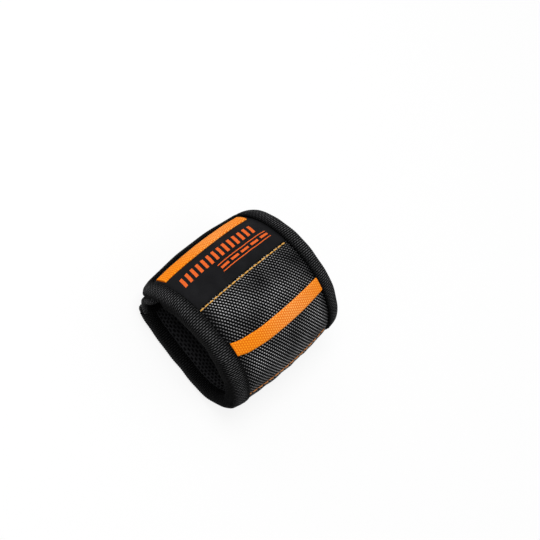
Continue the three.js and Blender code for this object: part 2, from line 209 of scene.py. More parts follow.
# Lining: its place on the pad, and where it turns up and the pad thins toward the flap
LINING_LIFT = 0.35
LINING_QUILTING = 0.8
LINING_TOP = 1.85
LINING_THICKNESS = 0.9
TURN_UP = 2.2
TURN_UP_ROOM = 2.0
THINNING_START = 7.0
THINNING_LENGTH = 4.5

# Magnets felt through the panels: stations, places across, size across and along
MAGNET_ROWS = (-31.05, -5.95, 16.55, 39.05, 71.3)
MAGNET_PITCH = 22.5
MAGNET_SIZE = (18.0, 10.0)
MAGNET_BUMP = 0.22
MAGNET_SPREAD = 2.0

# Hook and loop: tufts of the pile, waves of the tail, and a hook's lean, rise and half thickness
TUFT = 0.12
TUFT_RATES = (5.1, 4.7)
TUFT_DRIFTS = (1.7, 1.3)
TAIL_SAG = 0.15
TAIL_WAVES = ((0.16, 0.115, 0.07, 1.0), (0.13, -0.09, 0.16, 2.3), (0.06, 0.31, -0.27, 0.4))
HOOK_PROFILE = ((0, 0, 0.2), (0.05, 0.35, 0.17), (0.2, 0.6, 0.15), (0.45, 0.62, 0.13), (0.55, 0.4, 0.08))
HOOK_ROW_PITCH = 1.5
HOOK_PITCH = 1.7
HOOK_MARGIN = 1.0
HOOK_END_MARGIN = 0.8
HOOK_BASE = 0.4
HOOK_BASE_RISE = 0.1
HOOK_ROOT = 0.25

# Printed marks on the label
PRINT_LAYER = (0.01, 0.12)
PRINT_STEPS = 41
LINE_STATIONS = (-29.3, -24.6)
LINE_WIDTH = 0.5
LINE_ENDS = (-9.0, 29.0)
DASH_STATION = -26.95
DASH_WIDTH = 1.4
DASH_LENGTH = 5.8
DASH_PLACES = np.arange(-8.4, 25.0, 7.8)
BAR_STATION = -35.6
BAR_HEIGHT = 7.0
BAR_WIDTH = 2.0
BAR_SLANT = 1.6
BAR_PLACES = np.arange(-31.0, 26.0, 4.1)

# Mesh spacing, and the corners of a square
PANEL_STEP = 0.8
LINING_STEP = 1.0
PILE_STEP = 0.9
WEB_STEP = 1.2
CORNER_STEPS = 12
CAP_STEPS = 14
SHARP_ANGLE = math.radians(48)
SQUARE = ((-1, -1), (1, -1), (1, 1), (-1, 1))

# Weaves: pitches in millimetres, and the share of its cell that a row and a dash cover
WEAVE_TURN = math.radians(35)
WEAVE_PITCH = 1.65
WEAVE_COVER = (0.3, 0.52)
# The woven dashes dim between these distances off the middle: painted shade beside the bindings
WEAVE_EDGE_SHADE = (26.0, 36.0)
TAPE_PICK = 2.3
TAPE_RIB_COVER = (0.32, 2.0)
TAPE_PICK_COVER = (0.32, 0.55)
# Where the binding's painted highlight peaks across its section, and how far it spreads before it falls to
# painted shade
TAPE_CREST = 6.3
CREST_HIGHLIGHT_SPREAD = (0.5, 5.5)
WEBBING_COVER = (0.62, 0.62)
# Where the webbing's painted highlight is palest, and how far it spreads
WEBBING_HIGHLIGHT_PLACE = 9.0
HIGHLIGHT_SPREAD = (0.0, 34.0)
SATIN_PITCH = 0.55
MESH_CELL = (3.4, 1.7)
MESH_COVER = (0.62, 0.62)
THREAD_TWIST = (0.45, 0.6)
ROW_SOFTNESS = 0.2
DASH_SOFTNESS = 0.25

# Colours and shine
# Woven: ground, faint dashes, and the colour of the dashes under the painted sheen
WOVEN_GROUND, WOVEN_FAINT, WOVEN_SHEEN = (0.0008, 0.0008, 0.001), (0.05, 0.05, 0.052), (0.64, 0.64, 0.65)
# Binding tape: ground, and the faint and pale ends of its dashes; the pale end shows fully only under the
# painted crest highlight
TAPE_GROUND, TAPE_FAINT, TAPE_PALE = (0.0004, 0.0004, 0.0005), (0.033, 0.033, 0.034), (0.165, 0.165, 0.17)
# Webbing: ground, strong picks, and the picks under the painted highlight
WEBBING_GROUND, WEBBING_STRONG, WEBBING_PALE = (0.72, 0.14, 0.004), (0.95, 0.33, 0.015), (1.0, 0.43, 0.1)
MESH_HOLE, MESH_DARK, MESH_LIGHT = (0.004, 0.004, 0.0045), (0.022, 0.022, 0.024), (0.04, 0.04, 0.043)
SATIN_DARK, SATIN_LIGHT = (0.003, 0.003, 0.0034), (0.017, 0.017, 0.0185)
PILE_DARK, PILE_LIGHT = (0.001, 0.001, 0.0011), (0.017, 0.017, 0.018)
HOOK_DARK, HOOK_LIGHT = (0.006, 0.006, 0.0065), (0.02, 0.02, 0.021)
NICKEL_DARK, NICKEL_LIGHT = (0.5, 0.5, 0.51), (0.68, 0.68, 0.7)
WHITE = (1.0, 1.0, 1.0, 1.0)
FABRIC_SPECULAR = 0.015
METAL_SPECULAR = 0.5
SHEEN_ROUGHNESS = 0.5

# Floor, sky and lamps; a lamp has its place, size and power
FLOOR_HALF = 4.0
FLOOR_DROP = 0.0005
FLOOR_COLOUR = (0.92, 0.92, 0.92, 1.0)
FLOOR_ROUGHNESS = 0.9
FLOOR_WHITE = 0.85
SKY_STRENGTH = 0.4
LAMPS = {
    "key": ((-0.12, 0.3, 0.95), 0.5, 6.6),
    "fill": ((0.5, -0.6, 0.6), 0.8, 1.4),
    "rim": ((0.1, 0.85, 0.45), 0.6, 1.3),
}

# Camera, in metres; AIM_PIXEL is where the aim falls in the frame
LENS = 70.0
SENSOR = 36.0
FRAME_PIXELS = 540
CAMERA_AIM = Vector((0.0, 0.0, 0.028))
CAMERA_DISTANCE = 0.59886
CAMERA_RIGHT = Vector((0.68554, -0.60387, 0.40667))
CAMERA_UP = Vector((0.56634, 0.79334, 0.22333))
CAMERA_CLIP = 0.01
AIM_PIXEL = (241.9, 303.8)


# Bending the flat layout round the loop


def ease(x):
    x = np.clip(x, 0.0, 1.0)
    return x * x * (3 - 2 * x)


def follow(arcs, length):
    """Reach, drop and angle after a length along arcs that start level."""
    rest = np.array(length, float)
    angle = np.zeros_like(rest)
    reach = np.zeros_like(rest)
    drop = np.zeros_like(rest)
    for radius, until in arcs:
        turn = np.clip(rest / radius, 0, until - angle)
        reach += radius * (np.sin(angle + turn) - np.sin(angle))
        drop += radius * (np.cos(angle) - np.cos(angle + turn))
        angle += turn
        rest -= radius * turn
    return reach - rest, drop, angle


def run_of(arcs):
    angle = 0.0
    length = 0.0
    for radius, until in arcs:
        length += radius * (until - angle)
        angle = until
    return length


def side_arcs(turn):
    """Arcs down one side of the loop, the last one bringing it level at the loop's height."""
    arcs = [(TOP_RADIUS, TOP_SWEEP), (SIDE_RADIUS, turn[0]), (TURN_RADIUS, turn[1])]
    drop = follow(arcs, run_of(arcs))[1]
    return arcs + [((LOOP_HEIGHT - float(drop)) / (1 + math.cos(turn[1])), math.pi)]


FRONT_ARCS = side_arcs(FRONT_TURN)
CLOSURE_ARCS = side_arcs(CLOSURE_TURN)
FRONT_RUN = run_of(FRONT_ARCS)
CLOSURE_RUN = run_of(CLOSURE_ARCS)
FLAT_RUN = float(follow(FRONT_ARCS, FRONT_RUN)[0] + follow(CLOSURE_ARCS, CLOSURE_RUN)[0])
LOOP_LENGTH = FRONT_RUN + FLAT_RUN + CLOSURE_RUN
BACK_END = LOOP_LENGTH + TAIL_FOLD - FOLD_GAP


def bend(along, across, out):
    """Places in the model's frame, in metres, of places laid out flat."""
    along, across, out = np.broadcast_arrays(along, across, out)
    wrapped = np.where(along > FRONT_RUN + FLAT_RUN / 2, along - LOOP_LENGTH, along)
    closure = wrapped < 0
    sides = [follow(arcs, np.abs(wrapped)) for arcs in (FRONT_ARCS, CLOSURE_ARCS)]
    reach, drop, angle = (np.where(closure, b, a) for a, b in zip(*sides))
    sign = np.where(closure, -1.0, 1.0)
    fade = 1 - ease((angle - CROWN_FULL_ANGLE) / (CROWN_END_ANGLE - CROWN_FULL_ANGLE))
    height = out - CROWN * fade * (across / HALF_BAND) ** 2
    y = -sign * reach + LOOP_SHIFT - sign * np.sin(angle) * height
    z = LOOP_HEIGHT + EDGE_RISE - drop + np.cos(angle) * height
    return np.stack([across, y, z], -1) / 1000


def point(along):
    return tuple(bend(along, 0.0, 0.0))


# Sewn, padded covers


def magnet_bumps(along, across):
    height = np.zeros_like(along)
    half_across, half_along = (size / 2 + MAGNET_SPREAD for size in MAGNET_SIZE)
    slope = 2 * MAGNET_SPREAD
    for row in MAGNET_ROWS:
        for place in (-MAGNET_PITCH, 0.0, MAGNET_PITCH):
            wide = ease((half_across - np.abs(across - place)) / slope)
            long = ease((half_along - np.abs(along - row)) / slope)
            height += MAGNET_BUMP * wide * long
    return height


def steps(start, end, size):
    return np.linspace(start, end, max(2, int(round(abs(end - start) / size)) + 1))


def grid_faces(rows, columns, first=0, turned=False):
    r, c = np.meshgrid(np.arange(rows - 1), np.arange(columns - 1), indexing="ij")
    a = (first + r * columns + c).ravel()
    quads = np.stack([a, a + 1, a + columns + 1, a + columns], 1)
    return quads[:, ::-1] if turned else quads


def add_object(name, data):
    piece = bpy.data.objects.new(name, data)
    bpy.context.scene.collection.objects.link(piece)
    return piece


def weight_group(piece, name, weights):
    group = piece.vertex_groups.new(name=name)
    for index, weight in enumerate(weights):
        group.add([index], float(weight), "REPLACE")


def swollen_cover(start, end, spacing, from_seam):
    """Cloth sewn down along its seams, gathered a little there, and swollen by the padding under it.

    from_seam gives the distance to the nearest seam, zero or less where the cover is held.
    Returns the stations along and across, and the height at each, in millimetres.
    """
    along, across = steps(start, end, spacing), steps(-HALF_BAND, HALF_BAND, spacing)
    s, u = (place.ravel() for place in np.meshgrid(along, across, indexing="ij"))
    distance = from_seam(s, u)
    flat = np.stack([u, s, 0 * s], 1) * CLOTH_SCALE
    mesh = bpy.data.meshes.new("cloth")
    mesh.from_pydata(flat.tolist(), [], grid_faces(len(along), len(across)).tolist())
    cloth = add_object("cloth", mesh)
    scene = bpy.context.scene
    weight_group(cloth, "sewn", distance <= 0)
    weight_group(cloth, "loose", 1 - np.exp(-np.maximum(distance, 0) / GATHER_REACH))
    modifier = cloth.modifiers.new("Cloth", "CLOTH")
    modifier.collision_settings.use_collision = False
    settings = modifier.settings
    settings.quality = CLOTH_QUALITY
    settings.mass = CLOTH_MASS
    settings.bending_stiffness = CLOTH_BENDING
    settings.vertex_group_mass = "sewn"
    settings.vertex_group_shrink = "loose"
    settings.shrink_min = -CLOTH_GATHER
    settings.shrink_max = 0.0
    settings.use_pressure = True
    settings.uniform_pressure_force = CLOTH_PRESSURE
    settings.effector_weights.gravity = 0.0
    for moment in range(1, CLOTH_FRAMES + 1):
        scene.frame_set(moment)
    result = cloth.evaluated_get(bpy.context.evaluated_depsgraph_get()).data
    places = np.zeros(3 * len(s), np.float32)
    result.vertices.foreach_get("co", places)
    height = places.reshape(len(along), len(across), 3)[..., 2] / CLOTH_SCALE
    bpy.data.objects.remove(cloth)
    bpy.data.meshes.remove(mesh)
    scene.frame_set(1)
    return along, across, height.astype(float)


def cell_of(stations, value):
    """The cell that a value falls in, and how far along it; the end falls in the last cell."""
    place = np.clip((value - stations[0]) / (stations[1] - stations[0]), 0, len(stations) - 1.001)
    cell = place.astype(int)
    return cell, place - cell


def field_height(field, along, across):
    """Height of a simulated cover at any place, between its points."""
    stations, places, height = field
    r, a = cell_of(stations, along)
    c, b = cell_of(places, across)
    low = height[r, c] * (1 - b) + height[r, c + 1] * b
    high = height[r + 1, c] * (1 - b) + height[r + 1, c + 1] * b
    return low * (1 - a) + high * a


def to_panel_edge(across):
    """Distance inward from the nearer binding, negative under it."""
    return np.minimum(across - PANEL_NEAR, PANEL_FAR - across)


def or_to_folds(distance, along):
    """A distance, or that to the label fold or front fold where it is less."""
    for fold in (LABEL_FOLD, FRONT_FOLD):
        distance = np.minimum(distance, np.abs(along - fold) - SEAM_HALF_WIDTH)
    return distance


def cover_seams(along, across):
    """Bindings at both edges, the two folds and the ends hold the outer cover."""
    ends = np.minimum(along - FLAP_END - BINDING_WIDTH, SIDE_END - COVER_HEM - along)
    return or_to_folds(np.minimum(to_panel_edge(across), ends), along)


def lining_seams(along, across):
    """The inner flanges of the bindings, the two folds and the ends hold the lining."""
    ends = np.minimum(along - FLAP_FOLD - LINING_HEM, BACK_END - INNER_FLANGE - along)
    return or_to_folds(np.minimum(HALF_BAND - INNER_FLANGE - np.abs(across), ends), along)


def panel_top(along, across):
    """Outer face of the panels: the simulated cover, its seams pressed in and the magnets felt."""
    edge_seam = -EDGE_SEAM_DEPTH * np.exp(-(to_panel_edge(across) ** 2) / EDGE_SEAM_SPREAD)
    seams = edge_seam - LABEL_SEAM_DEPTH * np.exp(-((along - LABEL_FOLD) ** 2) / LABEL_SEAM_SPREAD)
    inside = ease((HALF_BAND - TUCK_WIDTH - np.abs(across)) / TUCK_SLOPE)
    height = field_height(COVER, along, across) + seams + magnet_bumps(along, across)
    return inside * height - COVER_SINK


COVER = swollen_cover(FLAP_END, SIDE_END, COVER_GRID, cover_seams)
LINING_COVER = swollen_cover(FLAP_FOLD, BACK_END, LINING_GRID, lining_seams)


# Meshes


def make_object(name, points, faces, flat, material, slot, *nodes):
    """A closed mesh, its faces pointing out, with its flat layout as an attribute, in place of nodes."""
    a, b, c, d = (points[faces[:, corner]] for corner in range(4))
    one_half = np.einsum("ij,ij->i", a, np.cross(b, c)).sum()
    other_half = np.einsum("ij,ij->i", a, np.cross(c, d)).sum()
    if one_half + other_half < 0:
        faces = faces[:, ::-1]
    mesh = bpy.data.meshes.new(name)
    mesh.from_pydata(points.tolist(), [], faces.tolist())
    mesh.polygons.foreach_set("use_smooth", [True] * len(faces))
    mesh.set_sharp_from_angle(angle=SHARP_ANGLE)
    attribute = mesh.attributes.new("flat", "FLOAT_VECTOR", "POINT")
    attribute.data.foreach_set("vector", flat.astype(np.float32).ravel())
    mesh.materials.append(material)
    piece = add_object(name, mesh)
    if nodes:
        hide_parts(*nodes)
    return piece


def join(groups):
    """One set of points, faces and flat layout from several."""
    points, faces, flats = zip(*groups)
    firsts = np.cumsum([0] + [len(part) for part in points])
    shifted = [part + first for part, first in zip(faces, firsts)]
    return np.concatenate(points), np.concatenate(shifted), np.concatenate(flats)


def slab_arrays(along, across, upper, lower):
    """Points, faces and flat layout of a closed sheet over a grid of stations."""
    rows, columns = along.shape
    count = rows * columns
    top = bend(along, across, upper).reshape(-1, 3)
    bottom = bend(along, across, lower).reshape(-1, 3)
    index = np.arange(count).reshape(rows, columns)
    rim = np.concatenate([index[0, :-1], index[:-1, -1], index[-1, :0:-1], index[:0:-1, 0]])
    after = np.roll(rim, -1)
    side = np.stack([rim, rim + count, after + count, after], 1)
    faces = np.concatenate([grid_faces(rows, columns), grid_faces(rows, columns, count, True), side])
    flat_top = np.stack([across, along, upper], -1).reshape(-1, 3)
    flat_bottom = np.stack([across, along, lower], -1).reshape(-1, 3)
    return np.concatenate([top, bottom]), faces, np.concatenate([flat_top, flat_bottom])


def sheet_grid(start, end, half, step, round_end=0.0):
    """Stations of a sheet; with round_end the corners at its end are rounded with that radius."""
    along = steps(start, end, step)
    width = np.full(len(along), float(half))
    if round_end:
        turn = np.linspace(0, np.pi / 2, CORNER_STEPS)
        facing = math.copysign(1.0, end - start)
        corner = end - facing * round_end * (1 - np.sin(turn))
        along = np.concatenate([steps(start, end - facing * round_end, step)[:-1], corner])
        into = np.clip(round_end - np.abs(end - along), 0, round_end)
        width = half - round_end + np.sqrt(np.maximum(round_end**2 - into**2, 0))
    across = np.linspace(-1, 1, int(round(2 * half / step)) + 1)
    return np.repeat(along[:, None], len(across), 1), width[:, None] * across[None, :]


def tube_walls(rings, sides):
    """Faces of a tube whose points go round ring after ring."""
    r, k = np.meshgrid(np.arange(rings - 1), np.arange(sides), indexing="ij")
    a = (r * sides + k).ravel()
    b = (r * sides + (k + 1) % sides).ravel()
    return np.stack([a, b, b + sides, a + sides], 1)


# Binding tapes


def binding_section(low, high, outer, inner):
    """Outer skin of a binding tape as [depth, out] points, from one lip round the edge to the other."""
    top, bottom, middle = high + WRAP_GAP, low - WRAP_GAP, (low + high) / 2
    shoulder = EDGE_SHOULDER * (high - low)
    control = [[share * outer, top + rise] for share, rise in OUTER_LIP]
    control += [[0.0, middle + shoulder], [-EDGE_BULGE, middle], [0.0, middle - shoulder]]
    control += [[share * inner, bottom - rise] for share, rise in INNER_LIP]
    ends = np.array([control[0], *control, control[-1]])
    fine = []
    for a, b, c, d in zip(ends[:-3], ends[1:-2], ends[2:-1], ends[3:]):
        square = 2 * a - 5 * b + 4 * c - d
        cube = 3 * b - a - 3 * c + d
        for t in (0.0, 1 / 3, 2 / 3):
            fine.append(0.5 * (2 * b + (c - a) * t + square * t**2 + cube * t**3))
    fine.append(ends[-1])
    return np.array(fine)


def edge_path(start, end, side):
    """Path along one edge: along, across, the direction inward as along and across, and the run."""
    along = steps(start, end, RIB_STEP)
    zero = np.zeros_like(along)
    return np.stack([along, zero + side * HALF_BAND, zero, zero - side, along], 1)


def round_path(root, tip):
    """Path up one edge of the band, round an end with rounded corners, and back down the other edge."""
    facing = math.copysign(1.0, tip - root)
    start = tip - facing * END_CORNER
    straight = steps(root, start, RIB_STEP)[:-1]
    turn = np.linspace(0, np.pi / 2, int(END_CORNER * np.pi / 2 / RIB_STEP))
    flat = HALF_BAND - END_CORNER
    zero = np.zeros_like(straight)
    near = np.stack([straight, zero - HALF_BAND, zero, zero + 1], 1)
    in_along, in_across = -facing * np.sin(turn), np.cos(turn)
    corner = [start - END_CORNER * in_along, -flat - END_CORNER * in_across]
    near_turn = np.stack([*corner, in_along, in_across], 1)
    across = steps(-flat, flat, RIB_STEP)[1:-1]
    one = np.ones_like(across)
    end = np.stack([tip * one, across, -facing * one, 0 * one], 1)
    mirror = np.array([1, -1, 1, -1])
    path = np.concatenate([near, near_turn, end, (near_turn * mirror)[::-1], (near * mirror)[::-1]])
    gaps = np.linalg.norm(np.diff(path[:, :2], axis=0), axis=1)
    run = np.concatenate([[0], np.cumsum(gaps)])
    run = root + facing * np.minimum(run, run[-1] - run)
    return np.concatenate([path, run[:, None]], 1)


def end_path():
    """Path across the back's end, and the share of its section left where each cap rounds off."""
    turn = np.linspace(0, np.pi / 2, CAP_STEPS)
    cap = HALF_BAND + END_CAP_REACH - END_CAP * (1 - np.sin(turn))
    middle = steps(-cap[0], cap[0], RIB_STEP)[1:-1]
    across = np.concatenate([-cap[::-1], middle, cap])
    cap_run = cap[0] + END_CAP * turn
    run = np.concatenate([-cap_run[::-1], middle, cap_run])
    rounding = np.concatenate([np.cos(turn)[::-1], np.ones_like(middle), np.cos(turn)])
    one = np.ones_like(across)
    path = np.stack([BACK_END * one, across, -one, 0 * one, run], 1)
    return path, np.maximum(rounding, CLOSED_SHARE)


def slow_wave(run, wave):
    height, rate, phase = wave
    return height * np.sin(rate * run + phase)[:, None]


def ribbed(skins, run, high, outer):
    """Skins of a tape with its ribs, and with a slow sag and lift along the run."""
    tangent = np.gradient(skins, axis=1)
    normal = np.stack([tangent[..., 1], -tangent[..., 0]], -1)
    normal /= np.linalg.norm(normal, axis=-1, keepdims=True)
    place = np.arange(skins.shape[1])
    from_lip = np.minimum(place, place[::-1])
    rib = RIB_HEIGHT * np.cos(2 * np.pi * run / RIB_PITCH)[:, None] * ease(from_lip / RIB_FADE)[None, :]
    skins = skins - normal * rib[..., None]
    sag = sum(slow_wave(run, wave) for wave in TAPE_SAG)
    skins[..., 0] += sag * ease((outer - skins[..., 0]) / outer)
    skins[..., 1] += slow_wave(run, TAPE_LIFT) * (skins[..., 1] > high)
    return skins


def sweep_binding(name, nodes, path, lows, highs, outers, inner, taper=1.0):
    """A ribbed tape that wraps an edge, with the wrapped layer's faces and the lip's depth at each point.

    taper draws the section in toward its middle, to close an end.
    """
    run = path[:, 4]
    low, high, outer = (np.broadcast_to(value, len(path)) for value in (lows, highs, outers))
    skins = np.array([binding_section(*section, inner) for section in zip(low, high, outer)])
    low, high, outer = low[:, None], high[:, None], outer[:, None]
    hidden_depth = skins[..., 0] + np.exp(-skins[..., 0])
    hidden = np.stack([hidden_depth, np.clip(skins[..., 1], low - WRAP_GAP, high + WRAP_GAP)], -1)
    skins = ribbed(skins, run, high, outer)
    ring = np.concatenate([skins, hidden[:, ::-1]], 1)
    middle = np.stack([TAPER_CENTRE * outer, (low + high) / 2], -1)
    ring = middle + (ring - middle) * np.broadcast_to(taper, len(path))[:, None, None]
    along = path[:, None, 0] + path[:, None, 2] * ring[..., 0]
    across = path[:, None, 1] + path[:, None, 3] * ring[..., 0]
    points = bend(along, across, ring[..., 1]).reshape(-1, 3)
    rows, size = ring.shape[:2]
    k = np.arange(skins.shape[1] - 1)
    cap = np.stack([k, size - 1 - k, size - 2 - k, k + 1], 1)
    faces = np.concatenate([tube_walls(rows, size), cap, (cap + (rows - 1) * size)[:, ::-1]])
    length = np.concatenate([[0], np.cumsum(np.linalg.norm(np.diff(skins[0], axis=0), axis=1))])
    length = np.concatenate([length, length[::-1]])
    flat = np.stack([np.tile(length, (rows, 1)), np.repeat(run[:, None], size, 1), ring[..., 1]], -1)
    return make_object(name, points, faces, flat.reshape(-1, 3), BINDING, "binding", *nodes)


# Sewing thread


def thread_piece(name, ends, height, stitch, material, slot, *nodes):
    """Capsules of thread from one [along, across] point to the next, arched above height."""
    lift, radius = stitch[2:]
    sides, rings = 6, 7
    t = np.linspace(0, 1, rings)
    angle = 2 * np.pi * np.arange(sides) / sides
    thin = np.sqrt(np.maximum(1 - np.abs(2 * t - 1) ** THREAD_POWER, THREAD_TIP))
    wide = radius * thin[:, None] * np.cos(angle)
    tall = radius * thin[:, None] * np.sin(angle)
    start_cap = np.array([[0, 3, 2, 1], [0, 5, 4, 3]])
    end_cap = (rings - 1) * sides + np.array([[0, 1, 2, 3], [0, 3, 4, 5]])
    faces = np.concatenate([tube_walls(rings, sides), start_cap, end_cap])
    groups = []
    for (s0, u0), (s1, u1) in ends:
        length = math.hypot(s1 - s0, u1 - u0)
        along = s0 + (s1 - s0) * t
        across = u0 + (u1 - u0) * t
        base = height(along, across) + lift * np.sin(np.pi * t)
        s = along[:, None] - (u1 - u0) / length * wide
        u = across[:, None] + (s1 - s0) / length * wide
        points = bend(s, u, base[:, None] + tall).reshape(-1, 3)
        flat = np.stack([u, s, np.repeat(t[:, None] * length, sides, 1)], -1).reshape(-1, 3)
        groups.append((points, faces, flat))
    return make_object(name, *join(groups), material, slot, *nodes)


def fold_stitches(name, node, station, stitch, material, slot):
    """A row of stitches across the band, from binding to binding."""
    length, pitch = stitch[:2]
    starts = np.arange(PANEL_NEAR + STITCH_FROM_EDGE, PANEL_FAR - length, pitch)
    ends = [((station, u), (station, u + length)) for u in starts]
    return thread_piece(name, ends, panel_top, stitch, material, slot, node)


# Shader nodes


def new_node(kind, socket):
    """A shader node in the tree that a socket belongs to."""
    return socket.id_data.nodes.new("ShaderNode" + kind)


def wire(node, values):
    """Sets inputs of a node by name or number, or links them to another node's output."""
    for key, value in values.items():
        if isinstance(value, bpy.types.NodeSocket):
            node.id_data.links.new(value, node.inputs[key])
        else:
            node.inputs[key].default_value = value


def number(kind, a, b=0.0):
    node = new_node("Math", a)
    node.operation = kind
    wire(node, {0: a, 1: b})
    return node.outputs[0]


def weighted(a, a_share, b, b_share):
    a_part = number("MULTIPLY", a, a_share)
    return number("ADD", a_part, number("MULTIPLY", b, b_share))


def away_from(value, place):
    return number("ABSOLUTE", number("SUBTRACT", value, place))


def step_down(value, start, end):
    """1 below start, easing to 0 at end."""
    node = new_node("MapRange", value)
    node.interpolation_type = "SMOOTHSTEP"
    wire(node, {"Value": value, "From Min": start, "From Max": end, "To Min": 1.0, "To Max": 0.0})
    return node.outputs[0]


def from_centre(value):
    """Distance from the middle of each whole cell of value, from 0 to 1."""
    return number("MULTIPLY", away_from(number("FRACT", value), 0.5), 2.0)


def blend_colours(factor, low, high):
    node = new_node("Mix", factor)
    node.data_type = "RGBA"
    wire(node, {"Factor": factor})
    keys = [key for key, socket in enumerate(node.inputs) if socket.type == "RGBA"]
    for key, colour in zip(keys, (low, high)):
        wire(node, {key: (*colour, 1.0) if isinstance(colour, tuple) else colour})
    return [socket for socket in node.outputs if socket.type == "RGBA"][0]


def noise(vector, scale, detail):
    node = new_node("TexNoise", vector)
    wire(node, {"Vector": vector, "Scale": scale, "Detail": detail})
    return node.outputs["Fac"]


def dash_mask(along, across, length, pitch, cover):
    """Staggered dashes: rows a pitch apart, each row and dash covering a share of its cell."""
    row_cover, dash_cover = cover
    row = number("DIVIDE", across, pitch)
    odd = number("FLOORED_MODULO", number("FLOOR", row), 2.0)
    place = number("ADD", number("DIVIDE", along, length), number("MULTIPLY", odd, 0.5))
    in_row = step_down(from_centre(row), row_cover - ROW_SOFTNESS, row_cover + ROW_SOFTNESS)
    in_dash = step_down(from_centre(place), dash_cover - DASH_SOFTNESS, dash_cover + DASH_SOFTNESS)
    return number("MULTIPLY", in_row, in_dash)


# Materials, patterned by the flat layout


def new_material(name, roughness, sheen=0.0, metallic=0.0):
    """The material, and the flat layout as a vector and as its parts."""
    material = bpy.data.materials.new(name)
    material.use_nodes = True
    tree = material.node_tree
    wire(tree.nodes["Principled BSDF"], {
        "Roughness": roughness,
        "Metallic": metallic,
        "Sheen Weight": sheen,
        "Sheen Roughness": SHEEN_ROUGHNESS,
        "Specular IOR Level": METAL_SPECULAR if metallic else FABRIC_SPECULAR,
    })
    layout = tree.nodes.new("ShaderNodeAttribute")
    layout.attribute_name = "flat"
    split = tree.nodes.new("ShaderNodeSeparateXYZ")
    wire(split, {0: layout.outputs["Vector"]})
    return material, layout.outputs["Vector"], split.outputs


def dressed(material, colour, height=None, strength=0.0, distance=0.0):
    """The material with its colour and, from a height, a bump with a distance in metres."""
    shader = material.node_tree.nodes["Principled BSDF"]
    wire(shader, {"Base Color": colour})
    if height is not None:
        bump = new_node("Bump", height)
        wire(bump, {"Strength": strength, "Distance": distance, "Height": height})
        wire(shader, {"Normal": bump.outputs[0]})
    return material


def woven_material():
    material, layout, (u, s, _) = new_material("coarse_woven_nylon", roughness=0.55)
    sine, cosine = math.sin(WEAVE_TURN), math.cos(WEAVE_TURN)
    p = weighted(s, cosine, u, sine)
    q = weighted(u, cosine, s, -sine)
    mask = dash_mask(p, q, WEAVE_PITCH, WEAVE_PITCH, WEAVE_COVER)
    # Painted sheen: large soft patches where the pale dashes brighten, as an uneven sheen
    painted_sheen = step_down(noise(layout, scale=0.05, detail=1.0), start=0.1, end=0.9)
    # Painted shade: the dashes dim toward the bindings, 26 to 36 mm off the middle, as the shade beside the
    # tapes
    middle = step_down(number("ABSOLUTE", u), *WEAVE_EDGE_SHADE)
    bright = blend_colours(number("MULTIPLY", painted_sheen, middle), WOVEN_FAINT, WOVEN_SHEEN)
    colour = blend_colours(mask, WOVEN_GROUND, bright)
    return dressed(material, colour, mask, strength=0.7, distance=0.0002)


def binding_material():
    """Ribs and picks of the tape, with a painted highlight along the crest and painted shade toward both
    lips.
    """
    material, layout, (depth, run, _) = new_material("ribbed_binding_tape", roughness=0.6)
    rib = dash_mask(depth, run, TAPE_PICK, RIB_PITCH, TAPE_RIB_COVER)
    pick = dash_mask(depth, run, TAPE_PICK, RIB_PITCH, TAPE_PICK_COVER)
    weave = weighted(rib, 0.35, pick, 0.65)
    # Painted highlight: the dashes are brightest at the tape's crest and fall to painted shade toward both
    # lips
    crest = step_down(away_from(depth, TAPE_CREST), *CREST_HIGHLIGHT_SPREAD)
    painted_sheen = number("ADD", number("MULTIPLY", crest, 0.88), 0.12)
    mask = number("MULTIPLY", weave, painted_sheen)
    bright = blend_colours(noise(layout, scale=0.25, detail=4.0), TAPE_FAINT, TAPE_PALE)
    colour = blend_colours(mask, TAPE_GROUND, bright)
    return dressed(material, colour, mask, strength=0.6, distance=0.0002)


def smooth_material():
    material, layout, (u, s, _) = new_material("smooth_satin_fabric", roughness=0.5)
    weft = from_centre(number("DIVIDE", s, SATIN_PITCH))
    warp = from_centre(number("DIVIDE", u, SATIN_PITCH))
    weave = number("MULTIPLY", weft, warp)
    mottled = weighted(weave, 0.35, noise(layout, scale=0.09, detail=4.0), 0.8)
    colour = blend_colours(mottled, SATIN_DARK, SATIN_LIGHT)
    return dressed(material, colour, weave, strength=0.35, distance=0.0001)


def webbing_material():
    """Orange webbing with light picks, and a painted highlight that makes it palest a little past the
    middle of the band.
    """
    material, layout, (u, s, _) = new_material("orange_webbing", roughness=0.6)
    picks = dash_mask(s, u, WEBBING_PICK, WEBBING_PITCH, WEBBING_COVER)
    mask = weighted(picks, 0.9, noise(layout, scale=0.2, detail=3.0), 0.2)
    # Painted highlight: the picks pale toward a place a little past the middle of the band
    pale = step_down(away_from(u, WEBBING_HIGHLIGHT_PLACE), *HIGHLIGHT_SPREAD)
    light = blend_colours(pale, WEBBING_STRONG, WEBBING_PALE)
    colour = blend_colours(mask, WEBBING_GROUND, light)
    return dressed(material, colour, picks, strength=0.3, distance=0.00012)


def striped_material(name, light, dark):
    """Fine stripes: the plies of a thread, or the cloth's weave through a print."""
    material, _, (_, s, length) = new_material(name, roughness=0.5)
    along_thread = number("DIVIDE", length, THREAD_TWIST[0])
    along_band = number("DIVIDE", s, THREAD_TWIST[1])
    ply = from_centre(number("ADD", along_thread, along_band))
    colour = blend_colours(ply, light, dark)
    return dressed(material, colour, ply, strength=0.4, distance=0.0001)


